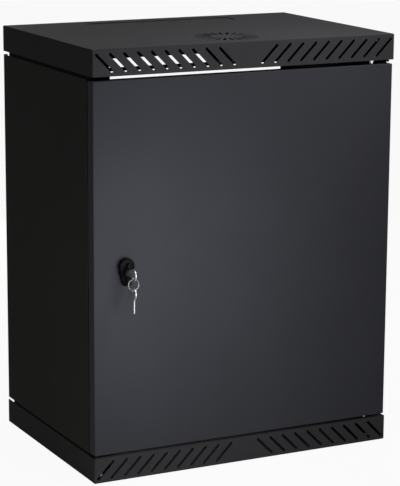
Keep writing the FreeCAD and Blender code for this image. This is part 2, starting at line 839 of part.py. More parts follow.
# ================================================================ 19-inch rails
def rack_rail():
    """An angle with three square holes in each rack unit."""
    piece = body("left_rack_rail")
    thick = rack_rail_sheet
    outer, inner = -rail_inner, rack_inset - half_width
    section = sketch_on(piece, "XY", rack_bottom)
    polygon(section, [(outer, rack_front), (inner, rack_front), (inner, rack_front + thick),
                      (outer + thick, rack_front + thick),
                      (outer + thick, rack_front + rack_rail_leg),
                      (outer, rack_front + rack_rail_leg)])
    pad(piece, section, rack_length)
    first_unit = rack_bottom + (rack_length - rack_units * rack_unit) / 2
    unit = sketch_on(piece, "XZ", rack_front, (inner - rack_hole_offset, first_unit))
    for i in range(3):
        middle_z = rack_first_hole + i * rack_hole_pitch
        rectangle(unit, -rack_square / 2, middle_z - rack_square / 2,
                  rack_square / 2, middle_z + rack_square / 2)
    repeat_along(piece, pocket(piece, unit, thick, 1), "Z", rack_unit, rack_units)
    bolts = sketch_on(piece, "YZ", outer)
    for z in (lower_bolt_level, upper_bolt_level):
        polygon(bolts, round_corners(rack_front + rack_rail_leg / 2, z, stud_hole,
                                     FASTENER_SIDES))
    pocket(piece, bolts, thick, 1)
    return piece


left_rack_rail = rack_rail()
right_rack_rail = mirrored("right_rack_rail", left_rack_rail)


# ================================================================ door
def door_panel():
    piece = body("door_panel")

    def ring(level, width):
        sketch = sketch_on(piece, "XZ", level)
        rectangle(sketch, door_left, door_bottom, door_right, door_top)
        rectangle(sketch, door_left + width, door_bottom + width,
                  door_right - width, door_top - width)
        return sketch

    skin = rectangle(sketch_on(piece, "XZ", front), door_left, door_bottom, door_right, door_top)
    pad(piece, skin, door_sheet, 1)
    pad(piece, ring(front, door_sheet), door_return, 1)
    pad(piece, ring(front + door_return - door_sheet, door_hem), door_sheet, 1)
    fillet(piece, door_bend, lambda e: near(middle(e).y, front) or (
        is_along(e, Y) and (near(middle(e).x, door_left) or near(middle(e).x, door_right))
        and (near(middle(e).z, door_bottom) or near(middle(e).z, door_top))))
    hole = circle(sketch_on(piece, "XZ", front), lock_x, lock_height,
                  housing_diameter + 2 * seat_gap)
    pocket(piece, hole, door_sheet, 1)
    for level in (door_bottom, door_top - door_sheet):
        pins = circle(sketch_on(piece, "XY", level), pin_x, pin_y, pin_diameter + 2 * pin_fit)
        pocket(piece, pins, door_sheet, 1)
    return piece


door_panel_body = door_panel()


def door_stiffener():
    """A hat section welded up the middle of the door's inside."""
    piece = body("door_stiffener")
    skin = front + door_sheet
    thin = door_sheet
    foot, crown = stiffener_width / 2, stiffener_crown / 2
    section = sketch_on(piece, "XY", door_bottom + stiffener_end_gap)
    polygon(section, [(-foot, skin), (-crown, skin), (-crown, skin + stiffener_height - thin),
                      (crown, skin + stiffener_height - thin), (crown, skin), (foot, skin),
                      (foot, skin + thin), (crown + thin, skin + thin),
                      (crown + thin, skin + stiffener_height),
                      (-crown - thin, skin + stiffener_height), (-crown - thin, skin + thin),
                      (-foot, skin + thin)])
    pad(piece, section, door_top - door_bottom - 2 * stiffener_end_gap)
    return piece


door_stiffener_body = door_stiffener()


# ================================================================ hinge
collar_top = -pin_collar_drop
collar_bottom = collar_top - pin_collar_thickness
bracket_floor = -hinge_bracket_height


def hinge_bracket():
    """The angle welded in the door that guides the sprung pin; origin: pin axis at door top."""
    piece = body("upper_hinge_bracket")
    place(piece, pin_x, pin_y, door_top)
    skin = door_sheet - pin_setback
    section = sketch_on(piece, "YZ", -hinge_bracket_width / 2)
    thin = frame_sheet
    polygon(section, [(skin, -door_sheet), (skin + thin, -door_sheet),
                      (skin + thin, bracket_floor + thin),
                      (skin + hinge_bracket_reach, bracket_floor + thin),
                      (skin + hinge_bracket_reach, bracket_floor), (skin, bracket_floor)])
    pad(piece, section, hinge_bracket_width)
    hole = circle(sketch_on(piece, "XY", bracket_floor), 0, 0, pin_diameter + 2 * pin_fit)
    pocket(piece, hole, thin, 1)
    return piece


upper_hinge_bracket = hinge_bracket()


def upper_pin():
    """The sprung pin with its collar and side grip; origin: pin axis at door top."""
    piece = body("upper_hinge_pin")
    place(piece, pin_x, pin_y, door_top)
    radius, collar = pin_diameter / 2, pin_collar_diameter / 2
    top = door_gap_top + pin_reach
    bottom = bracket_floor - pin_tail
    profile = sketch_on(piece, "XZ", 0)
    polygon(profile, [(0, bottom), (radius, bottom), (radius, collar_bottom),
                      (collar, collar_bottom), (collar, collar_top), (radius, collar_top),
                      (radius, top), (0, top)])
    revolve(piece, profile, "V_Axis")
    grip = circle(sketch_on(piece, "YZ", 0), 0, bottom + pin_grip_diameter, pin_grip_diameter)
    pad(piece, grip, pin_grip_length, -1)
    return piece


upper_hinge_pin = upper_pin()


def hinge_spring():
    """The envelope of the coil spring between the bracket and the pin's collar."""
    low = bracket_floor + frame_sheet + seat_gap
    length = collar_bottom - seat_gap - low
    outside = cylinder("spring_outside", spring_diameter, length, pin_x, pin_y, door_top + low)
    inside = cylinder("spring_inside", spring_diameter - 2 * spring_wire, length,
                      pin_x, pin_y, door_top + low)
    made = cut("hinge_spring", outside, inside)
    made.Label = "hinge_spring"
    return made


hinge_spring_part = hinge_spring()


def lower_pin():
    """The fixed pin: its shoulder carries the door on the bottom cover's hem."""
    piece = body("lower_hinge_pin")
    place(piece, pin_x, pin_y, door_bottom)
    radius, shoulder = pin_diameter / 2, pin_collar_diameter / 2
    profile = sketch_on(piece, "XZ", 0)
    bottom = -door_gap_bottom - pin_reach
    polygon(profile, [(0, bottom), (radius, bottom),
                      (radius, seat_gap - door_gap_bottom), (shoulder, seat_gap - door_gap_bottom),
                      (shoulder, 0), (radius, 0), (radius, door_sheet), (shoulder, door_sheet),
                      (shoulder, door_sheet + pin_collar_thickness),
                      (0, door_sheet + pin_collar_thickness)])
    revolve(piece, profile, "V_Axis")
    return piece


lower_hinge_pin = lower_pin()


# ================================================================ lock
# The lock's pieces share an origin on the door's front face at the lock's axis.
def at_lock(item, y=0):
    return place(item, lock_x, front + y, lock_height)


rose_face = -rose_thickness
knob_back = rose_face - seat_gap
knob_face = knob_back - knob_body
nose_face = knob_face - nose_length


def lock_housing():
    piece = body("lock_housing")
    at_lock(piece)
    bore = spindle_diameter / 2 + lock_fit
    thread, rose = housing_diameter / 2, rose_diameter / 2
    profile = sketch_on(piece, "XY", 0)
    polygon(profile, [(bore, rose_face), (rose, rose_face), (rose, 0), (thread, 0),
                      (thread, housing_depth), (bore, housing_depth)])
    revolve(piece, profile, "V_Axis")
    return piece


lock_housing_body = lock_housing()


def lock_knob():
    """The turning knob: an egg-shaped body with a wing, a nose and the spindle behind."""
    piece = body("lock_knob")
    at_lock(piece)
    outline = sketch_on(piece, "XZ", knob_back)
    tip = knob_tip_width / 2
    r = knob_radius.value
    # The tangent ties below settle how far the arc runs past its half circle.
    middle_z = knob_rise.value
    past = math.asin((r - tip.value) / (knob_drop.value + middle_z))
    arc = outline.addGeometry(Part.ArcOfCircle(
        Part.Circle(Vector(0, middle_z, 0), Vector(0, 0, 1), r), -past, math.pi + past), False)
    ends = [Vector(r * math.cos(a), middle_z + r * math.sin(a), 0)
            for a in (math.pi + past, -past)]
    low_left = Vector(-tip.value, -knob_drop.value, 0)
    low_right = Vector(tip.value, -knob_drop.value, 0)
    left = outline.addGeometry(Part.LineSegment(ends[0], low_left), False)
    low = outline.addGeometry(Part.LineSegment(low_left, low_right), False)
    right = outline.addGeometry(Part.LineSegment(low_right, ends[1]), False)
    outline.addConstraint(Sketcher.Constraint("Tangent", arc, 2, left, 1))
    outline.addConstraint(Sketcher.Constraint("Coincident", left, 2, low, 1))
    outline.addConstraint(Sketcher.Constraint("Coincident", low, 2, right, 1))
    outline.addConstraint(Sketcher.Constraint("Tangent", right, 2, arc, 1))
    pin_point(outline, arc, 3, 0, knob_rise)
    tie_index = outline.addConstraint(Sketcher.Constraint("Radius", arc, r))
    outline.setExpression("Constraints[%d]" % tie_index, knob_radius.text)
    pin_point(outline, left, 2, -tip, -knob_drop)
    pin_point(outline, right, 1, tip, -knob_drop)
    pad(piece, outline, knob_body, -1)
    fillet(piece, knob_round, lambda e: is_along(e, Y) and near(middle(e).z, -knob_drop))
    chamfer(piece, knob_bevel, lambda e: near(middle(e).y, knob_face))
    wing = sketch_on(piece, "XZ", knob_back)
    top, low_half = wing_top_width / 2, wing_tip_width / 2
    wing_rise = knob_rise + knob_radius / 2
    polygon(wing, [(-top, wing_rise), (-low_half, -wing_drop), (low_half, -wing_drop),
                   (top, wing_rise)])
    pad(piece, wing, knob_body + wing_length, -1)
    nose = circle(sketch_on(piece, "XZ", knob_back), 0, 0, nose_diameter)
    pad(piece, nose, knob_body + nose_length, -1)
    chamfer(piece, nose_bevel, lambda e: near(middle(e).y, nose_face))
    spindle = circle(sketch_on(piece, "XZ", knob_back), 0, 0, spindle_diameter)
    pad(piece, spindle, spindle_end - knob_back, 1)
    tail = circle(sketch_on(piece, "XZ", spindle_end), 0, 0, cam_spindle)
    pad(piece, tail, cam_thickness + cam_nut_thickness, 1)
    bore = circle(sketch_on(piece, "XZ", nose_face), 0, 0, plug_diameter + 2 * lock_fit)
    pocket(piece, bore, plug_length + seat_gap, 1)
    return piece


lock_knob_body = lock_knob()


def lock_plug():
    piece = body("lock_plug")
    at_lock(piece)
    disc = circle(sketch_on(piece, "XZ", nose_face), 0, 0, plug_diameter)
    pad(piece, disc, plug_length, 1)
    keyway = rectangle(sketch_on(piece, "XZ", nose_face), -keyway_width / 2, -keyway_height / 2,
                       keyway_width / 2, keyway_height / 2)
    pocket(piece, keyway, plug_length - key_neck, 1)
    return piece


lock_plug_body = lock_plug()

bow_middle = nose_face - key_neck - key_bow / 2
key_hole_reach = key_bow / 2 - key_hole_rim - key_hole / 2
key_hole_z = -key_hole_reach
ring_top = key_hole_z - key_hole / 2 + ring_wire / 2 + ring_play
ring_middle = ring_top - ring_diameter / 2
ring_low = ring_middle - ring_diameter / 2


def key_shape(name, hole_above):
    """A flat key in its own YZ plane: the blade points to +Y and the bow is at the origin."""
    piece = body(name)
    half = key_thickness / 2
    bow = circle(sketch_on(piece, "YZ", -half), 0, 0, key_bow)
    pad(piece, bow, key_thickness)
    blade = rectangle(sketch_on(piece, "YZ", -half), key_bow / 4, -key_blade_height / 2,
                      key_bow / 2 + key_neck + key_blade_length, key_blade_height / 2)
    pad(piece, blade, key_thickness)
    if hole_above:
        hole_at = (-key_hole_reach, 0)
    else:
        hole_at = (0, key_hole_z)
    hole = circle(sketch_on(piece, "YZ", -half), hole_at[0], hole_at[1], key_hole)
    pocket(piece, hole, key_thickness, 1)
    teeth = sketch_on(piece, "YZ", -half)
    tooth = key_blade_height / 4
    start = key_bow / 2 + key_neck + tooth
    edge = -key_blade_height / 2
    polygon(teeth, [(start, edge), (start + tooth, edge + tooth), (start + 2 * tooth, edge)])
    row = pocket(piece, teeth, key_thickness, 1)
    repeat_along(piece, row, "Y", 2 * tooth, key_tooth_count)
    return piece


key = key_shape("key", False)
place(key, lock_x, front + bow_middle, lock_height)


def key_ring():
    """A flat-wire ring standing in the XZ plane."""
    start = front + bow_middle - ring_wire / 2
    outside = cylinder("ring_outside", ring_diameter + ring_wire, ring_wire,
                       lock_x, start, lock_height + ring_middle, TURN_TO["+Y"])
    inside = cylinder("ring_inside", ring_diameter - ring_wire, ring_wire,
                      lock_x, start, lock_height + ring_middle, TURN_TO["+Y"])
    made = cut("key_ring", outside, inside)
    made.Label = "key_ring"
    return made


key_ring_part = key_ring()

spare_key = key_shape("spare_key", True)
spare_rise = ring_low + ring_wire / 2 + ring_play - key_hole / 2 - key_hole_reach
place(spare_key, lock_x, front + bow_middle, lock_height + spare_rise, Rotation(X, -90))

lock_nut = nut("lock_nut", lock_nut_flats, housing_diameter, lock_nut_thickness,
               lock_x, front + door_sheet, lock_height, TURN_TO["+Y"], cylinder)


def lock_cam():
    """The tongue, pointing the same way as the knob's wing."""
    piece = body("lock_cam")
    at_lock(piece)
    outline = sketch_on(piece, "XZ", spindle_end, (0, 0), -90.0)
    slot(outline, 0, cam_reach - cam_width / 2, cam_width)
    pad(piece, outline, cam_thickness, 1)
    hole = circle(sketch_on(piece, "XZ", spindle_end), 0, 0, cam_spindle)
    pocket(piece, hole, cam_thickness, 1)
    return piece


lock_cam_body = lock_cam()
cam_nut = nut("cam_nut", cam_nut_flats, cam_spindle, cam_nut_thickness,
              lock_x, front + spindle_end + cam_thickness, lock_height, TURN_TO["+Y"], cylinder)


def striker():
    """The Z-shaped catch on the left upright that the tongue turns behind."""
    piece = body("striker")
    leg_x = -half_width + striker_leg
    foot_y, catch_y = upright_front, front + striker_front
    thin = frame_sheet
    section = sketch_on(piece, "XY", lock_height - striker_height / 2)
    polygon(section, [(leg_x - striker_foot, foot_y - thin), (leg_x, foot_y - thin),
                      (leg_x, catch_y), (leg_x + striker_catch, catch_y),
                      (leg_x + striker_catch, catch_y + thin), (leg_x + thin, catch_y + thin),
                      (leg_x + thin, foot_y), (leg_x - striker_foot, foot_y)])
    pad(piece, section, striker_height)
    return piece


striker_body = striker()

# ================================================================ fasteners
lid_under = cabinet_height - cover_sheet


def cover_fixings(name, upper):
    """Weld studs in a cover and the nuts that clamp the side rails to it."""
    studs, nuts = [], []
    for i, (side, y) in enumerate([(s, row) for s in (-1, 1) for row in stud_rows]):
        x = side * (half_width - stud_inset)
        if upper:
            stud_z, nut_z = lid_under - stud_length, lid_under - frame_sheet - nut_thickness
        else:
            stud_z, nut_z = cover_sheet, cover_sheet + frame_sheet
        studs.append(rod("%s_stud_%d" % (name, i), stud_diameter, stud_length, x, y, stud_z))
        nuts.append(nut("%s_nut_%d" % (name, i), nut_flats, stud_diameter, nut_thickness,
                        x, y, nut_z))
    return group(name + "_studs", studs), group(name + "_nuts", nuts)


lid_studs, lid_nuts = cover_fixings("lid", True)
base_studs, base_nuts = cover_fixings("base", False)


def panel_fixings(side_name, side):
    studs, nuts = [], []
    for i, (y, z) in enumerate(panel_stud_places()):
        name = "%s_panel_%d" % (side_name, i)
        turn = TURN_TO["+X"] if side < 0 else TURN_TO["-X"]
        face = side * (half_width - panel_sheet)
        shoulder_end = side * frame_outer
        shank = rod(name + "_shank", panel_stud_diameter, panel_stud_length, face, y, z, turn)
        shoulder = rod(name + "_shoulder", stud_shoulder, frame_sheet, face, y, z, turn)
        studs.append(fuse(name + "_stud", [shank, shoulder]))
        nuts.append(nut(name + "_nut", nut_flats, panel_stud_diameter, nut_thickness,
                        shoulder_end - side * frame_sheet, y, z, turn))
    return (group(side_name + "_panel_studs", studs), group(side_name + "_panel_nuts", nuts))


left_panel_studs, left_panel_nuts = panel_fixings("left", -1)
right_panel_studs, right_panel_nuts = panel_fixings("right", 1)


def rack_rail_fixings():
    bolts, nuts = [], []
    levels = (lower_bolt_level, upper_bolt_level)
    for i, (side, z) in enumerate([(s, level) for s in (-1, 1) for level in levels]):
        name = "rack_rail_bolt_%d" % i
        seat = side * (rail_inner - rack_rail_sheet)
        y = rack_front + rack_rail_leg / 2
        towards = "+X" if side < 0 else "-X"
        grip = rack_rail_sheet + frame_sheet + nut_thickness + 2 * seat_gap
        bolts.append(screw(name, rail_bolt_diameter, grip, rail_bolt_head,
                           rail_bolt_head_height, (seat, y, z), towards))
        nuts.append(nut("rack_rail_nut_%d" % i, nut_flats, rail_bolt_diameter, nut_thickness,
                        side * (rail_inner + frame_sheet), y, z,
                        TURN_TO["-X" if side < 0 else "+X"]))
    return group("rack_rail_bolts", bolts), group("rack_rail_nuts", nuts)


rack_rail_bolts, rack_rail_nuts = rack_rail_fixings()


def earth_point():
    """The threaded earth stud, pressed into the bottom cover with a hexagon base."""
    x = -half_width + earth_stud_inset
    y = front + earth_stud_setback
    shank = rod("earth_shank", stud_diameter, earth_stud_length, x, y, cover_sheet)
    base = hexagon("earth_base", nut_flats, nut_thickness, x, y, cover_sheet)
    made = fuse("earth_stud", [shank, base])
    made.Label = "earth_stud"
    return made


earth_stud = earth_point()

NODES = [
    top_cover, bottom_cover, top_cable_plate, left_side_panel, right_side_panel,
    front_left_upright, front_right_upright, rear_left_upright, rear_right_upright,
    front_top_tie, front_bottom_tie, upper_left_side_rail, upper_right_side_rail,
    lower_left_side_rail, lower_right_side_rail, rear_top_rail, rear_bottom_rail,
    left_rack_rail, right_rack_rail, door_panel_body, door_stiffener_body,
    upper_hinge_bracket, upper_hinge_pin, hinge_spring_part, lower_hinge_pin,
    lock_housing_body, lock_nut, lock_knob_body, lock_plug_body, key, key_ring_part,
    spare_key, lock_cam_body, cam_nut, striker_body, lid_studs, lid_nuts, base_studs,
    base_nuts, left_panel_studs, left_panel_nuts, right_panel_studs, right_panel_nuts,
    rack_rail_bolts, rack_rail_nuts, earth_stud,
]

doc.recompute()
for item in doc.Objects:
    bad = [flag for flag in item.State if flag in ("Invalid", "Error")]
    if bad:
        raise RuntimeError("%s is %s" % (item.Name, bad))
for node in NODES:
    shape = node.Shape
    if shape.isNull() or not shape.isValid() or not shape.Solids:
        raise RuntimeError("%s has no valid solid" % node.Label)
for node in NODES:
    node.Shape.exportStep(os.path.join("parts", node.Label + ".step"))
print("%d nodes written" % len(NODES))
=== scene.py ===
import json
import math

import bmesh
import bpy
from mathutils import Matrix, Vector

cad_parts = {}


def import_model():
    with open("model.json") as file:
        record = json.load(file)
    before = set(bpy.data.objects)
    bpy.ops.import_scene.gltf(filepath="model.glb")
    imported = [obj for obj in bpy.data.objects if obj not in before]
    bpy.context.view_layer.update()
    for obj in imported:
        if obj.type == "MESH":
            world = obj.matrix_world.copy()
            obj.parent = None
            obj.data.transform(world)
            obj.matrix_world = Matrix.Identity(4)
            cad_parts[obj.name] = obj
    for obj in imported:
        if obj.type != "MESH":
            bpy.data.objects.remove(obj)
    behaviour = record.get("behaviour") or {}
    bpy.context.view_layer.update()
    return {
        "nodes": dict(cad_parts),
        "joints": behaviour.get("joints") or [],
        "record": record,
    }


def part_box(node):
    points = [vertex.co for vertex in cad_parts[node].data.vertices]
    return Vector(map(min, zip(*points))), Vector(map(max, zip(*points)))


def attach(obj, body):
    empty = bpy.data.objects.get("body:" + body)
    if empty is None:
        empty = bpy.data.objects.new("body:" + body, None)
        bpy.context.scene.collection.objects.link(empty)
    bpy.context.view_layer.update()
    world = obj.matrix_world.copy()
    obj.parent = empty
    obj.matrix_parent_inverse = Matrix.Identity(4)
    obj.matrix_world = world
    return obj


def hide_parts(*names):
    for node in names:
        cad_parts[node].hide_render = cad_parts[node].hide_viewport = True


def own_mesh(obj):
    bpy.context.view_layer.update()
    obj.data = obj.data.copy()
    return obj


# Looks for the wall mount network cabinet. Metres, X right, Y to the wall, Z up.
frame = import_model()
MM = 0.001
TAU = 2 * math.pi


# ================================================================ materials
def shader(name, colour, roughness, metallic=0.0, specular=0.5):
    """A Principled material with its constants set on the shader's own sockets."""
    material = bpy.data.materials.new(name)
    material.use_nodes = True
    surface = material.node_tree.nodes["Principled BSDF"]
    surface.inputs["Base Color"].default_value = (*colour, 1)
    surface.inputs["Roughness"].default_value = roughness
    surface.inputs["Metallic"].default_value = metallic
    surface.inputs["Specular IOR Level"].default_value = specular
    return material, material.node_tree, surface


def add(tree, kind, settings=None, **sockets):
    """A node with its settings and input values or links; i0, i1 and so on count its inputs."""
    node = tree.nodes.new(kind)
    for key, value in (settings or {}).items():
        setattr(node, key, value)
    for key, value in sockets.items():
        numbered = key[0] == "i" and key[1:].isdigit()
        socket = node.inputs[int(key[1:]) if numbered else key.replace("_", " ")]
        if isinstance(value, bpy.types.NodeSocket):
            tree.links.new(value, socket)
        else:
            socket.default_value = value
    return node


def place_texture(tree, stretch=(1, 1, 1)):
    """Object coordinates in metres, optionally stretched for brushed or drawn metal."""
    source = add(tree, "ShaderNodeTexCoord")
    return add(tree, "ShaderNodeMapping", Vector=source.outputs["Object"], Scale=stretch).outputs["Vector"]


def noise(tree, where, scale, detail=2.0, roughness=0.5):
    return add(tree, "ShaderNodeTexNoise", Vector=where, Scale=scale, Detail=detail,
               Roughness=roughness).outputs["Fac"]


def spread(tree, value, low, high, start=0.3, end=0.7):
    """Map a 0 to 1 pattern onto a range."""
    return add(tree, "ShaderNodeMapRange", {"clamp": True}, Value=value, From_Min=start,
               From_Max=end, To_Min=low, To_Max=high).outputs["Result"]


def scaled_colour(tree, colour, factor):
    """The colour multiplied by a varying factor."""
    scaled = add(tree, "ShaderNodeVectorMath", {"operation": "SCALE"}, i0=colour, Scale=factor)
    return scaled.outputs["Vector"]


def edge_mask(tree, radius):
    """1 on sharp edges and 0 on flat metal, from the difference of two normals."""
    rounded = add(tree, "ShaderNodeBevel", {"samples": 4}, Radius=radius)
    flat = add(tree, "ShaderNodeNewGeometry")
    match = add(tree, "ShaderNodeVectorMath", {"operation": "DOT_PRODUCT"},
                i0=rounded.outputs["Normal"], i1=flat.outputs["Normal"])
    mask = add(tree, "ShaderNodeMapRange", {"clamp": True}, Value=match.outputs["Value"],
               From_Min=0.98, From_Max=0.80, To_Min=0.0, To_Max=1.0)
    return mask.outputs["Result"], rounded.outputs["Normal"]


def powder_coat(name, colour, roughness, specular, peel=0.16, wear_and_shade_strength=(0.0, 0.35), edge=2.2):
    """Satin black powder coat: orange peel, a fine grain, faint unevenness, and edges that scuffs lighten,
    or that painted shade darkens, as edge sets.

    Sharp edges take the colour times edge, in patches whose strength runs over the given range; a factor
    above 1 lightens them like scuffed paint, and one below 1 darkens them, which paints shade along the
    folds.
    """
    material, tree, surface = shader(name, colour, roughness, specular=specular)
    where = place_texture(tree)
    broad = spread(tree, noise(tree, where, 3.5, 3.0), 0.93, 1.07)
    grain = spread(tree, noise(tree, where, 1400.0, 1.0), 0.90, 1.10)
    cloud = add(tree, "ShaderNodeMath", {"operation": "MULTIPLY"}, i0=broad, i1=grain).outputs["Value"]
    painted = scaled_colour(tree, colour, cloud)
    mask, soft_normal = edge_mask(tree, 0.9 * MM)
    patchy = spread(tree, noise(tree, where, 60.0, 4.0, 0.65), *wear_and_shade_strength, 0.42, 0.66)
    rubbed_and_shaded = add(tree, "ShaderNodeMath", {"operation": "MULTIPLY"}, i0=mask, i1=patchy).outputs["Value"]
    # A factor above 1 lightens the edges like scuffed paint over primer; below 1 it darkens them, which is
    # painted shade along the folds.
    primer = max(edge - 1, 0) * 0.016
    worn_and_shaded_edge = tuple(c * edge + primer for c in colour)
    mixed = add(tree, "ShaderNodeMix", {"data_type": "RGBA"}, i0=rubbed_and_shaded, i6=painted, i7=(*worn_and_shaded_edge, 1))
    tree.links.new(mixed.outputs[2], surface.inputs["Base Color"])
    tree.links.new(spread(tree, noise(tree, where, 420.0, 2.0), roughness - 0.05, roughness + 0.05),
                   surface.inputs["Roughness"])
    bump = add(tree, "ShaderNodeBump", Strength=peel, Distance=0.15 * MM,
               Height=noise(tree, where, 520.0, 2.0, 0.55), Normal=soft_normal)
    tree.links.new(bump.outputs["Normal"], surface.inputs["Normal"])
    return material


def plated(name, colour, roughness, grain=90.0, stretch=(1, 1, 1), blotch=0.06, scratch=0.05):
    """Zinc, nickel or chrome plate with faint blotches and handling scratches."""
    material, tree, surface = shader(name, colour, roughness, metallic=1.0)
    where = place_texture(tree, stretch)
    blotches = spread(tree, noise(tree, where, grain * 4, 3.0), 1 - blotch, 1 + blotch)
    tree.links.new(scaled_colour(tree, colour, blotches), surface.inputs["Base Color"])
    tree.links.new(spread(tree, noise(tree, where, grain * 9, 4.0, 0.7), roughness * 0.7, roughness * 1.4),
                   surface.inputs["Roughness"])
    scratches = add(tree, "ShaderNodeTexWave", {"wave_type": "BANDS", "bands_direction": "DIAGONAL"},
                    Vector=where, Scale=grain * 14, Distortion=9.0, Detail=2.0, Detail_Scale=1.5)
    bump = add(tree, "ShaderNodeBump", Strength=scratch, Distance=0.05 * MM,
               Height=scratches.outputs["Fac"])
    tree.links.new(bump.outputs["Normal"], surface.inputs["Normal"])
    return material


def gloss_plastic(name, colour, roughness):
    """Moulded gloss black with a faint flow pattern and fingertip dulling.

    Its specular level and index are low, because glossy rays see a white background all round.
    """
    material, tree, surface = shader(name, colour, roughness, specular=0.10)
    surface.inputs["IOR"].default_value = 1.2
    where = place_texture(tree)
    touched = noise(tree, where, 140.0, 3.0, 0.6)
    tree.links.new(spread(tree, touched, roughness * 0.8, roughness * 1.9, 0.35, 0.75),
                   surface.inputs["Roughness"])
    tone = spread(tree, noise(tree, where, 60.0, 2.0), 0.9, 1.15)
    tree.links.new(scaled_colour(tree, colour, tone), surface.inputs["Base Color"])
    bump = add(tree, "ShaderNodeBump", Strength=0.04, Distance=0.1 * MM,
               Height=noise(tree, where, 260.0, 1.0))
    tree.links.new(bump.outputs["Normal"], surface.inputs["Normal"])
    return material


PAINT = {
    # The lid's edges are darkened in nearly full patches: painted shade along its folds.
    "cover_paint": powder_coat("cover_powder_coat", (0.048, 0.048, 0.0515), 0.55, 0.004,
                               wear_and_shade_strength=(0.7, 1.0), edge=0.30),
    "door_paint": powder_coat("door_powder_coat", (0.050, 0.051, 0.060), 0.55, 0.01),
    # The sides wear the black powder coat's own colour, made darker and more matt than the door's as
    # painted shade for the sides.
    "side_paint": powder_coat("side_powder_coat_with_painted_shade", (0.040, 0.041, 0.038), 0.60, 0.005),
    "frame_paint": powder_coat("frame_powder_coat", (0.026, 0.026, 0.028), 0.55, 0.01),
    "rack_steel": powder_coat("rack_powder_coat", (0.045, 0.045, 0.048), 0.52, 0.01,
                              peel=0.12, wear_and_shade_strength=(0.0, 0.6)),
    "zinc": plated("zinc_plate", (0.46, 0.47, 0.49), 0.34, grain=60.0, blotch=0.14),
    "pin_chrome": plated("nickel_pin", (0.80, 0.80, 0.82), 0.14),
    "spring_steel": plated("spring_wire", (0.55, 0.55, 0.57), 0.26, stretch=(1, 1, 6)),
    "knob_plastic": gloss_plastic("gloss_black_moulding", (0.006, 0.006, 0.007), 0.16),
    # The plug's nickel is darkened nearly to black, which paints shade on the plug face in its recess.
    "plug_chrome": plated("plug_nickel_painted_shade", (0.030, 0.030, 0.031), 0.34),
    "key_nickel": plated("key_nickel", (0.42, 0.42, 0.43), 0.38, stretch=(1, 4, 1), scratch=0.10),
    "ring_steel": plated("ring_steel", (0.26, 0.26, 0.27), 0.26),
}
for part in frame["record"]["subparts"]:
    node = frame["nodes"][part["node"]]
    node.data.materials.clear()
    node.data.materials.append(PAINT[part["material_slot"]])

# The side rails lie behind the gaps beside the covers; their near-black coat paints the shade in those
# gaps.
gap_shade_coat = powder_coat("gap_painted_shade_coat", (0.012, 0.012, 0.012), 0.75, 0.004)
for level_name in ("upper", "lower"):
    for side_name in ("left", "right"):
        frame["nodes"][f"{level_name}_{side_name}_side_rail"].data.materials[0] = gap_shade_coat
# The cable plate closes an opening in the lid and wears the lid's paint.
frame["nodes"]["top_cable_plate"].data.materials[0] = PAINT["cover_paint"]


# ================================================================ mesh helpers
def piece(name, verts, faces, body, slot_name, nodes=(), smooth=40.0, bevel=0.0):
    """A mesh in row-frame metres that rides on a CAD body and stands for some CAD nodes."""
    mesh = bpy.data.meshes.new(name)
    mesh.from_pydata([tuple(v) for v in verts], [], faces)
    mesh.materials.append(PAINT[slot_name])
    tidy = bmesh.new()
    tidy.from_mesh(mesh)
    bmesh.ops.remove_doubles(tidy, verts=tidy.verts, dist=1e-7)
    bmesh.ops.recalc_face_normals(tidy, faces=tidy.faces)
    tidy.to_mesh(mesh)
    tidy.free()
    mesh.polygons.foreach_set("use_smooth", [True] * len(mesh.polygons))
    mesh.set_sharp_from_angle(angle=math.radians(smooth))
    made = bpy.data.objects.new(name, mesh)
    bpy.context.scene.collection.objects.link(made)
    if bevel:
        rounding = made.modifiers.new("rounding", "BEVEL")
        rounding.width = bevel
        rounding.segments = 2
        rounding.limit_method = "ANGLE"
        rounding.angle_limit = math.radians(35)
    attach(made, body)
    if nodes:
        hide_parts(*nodes)
    return made


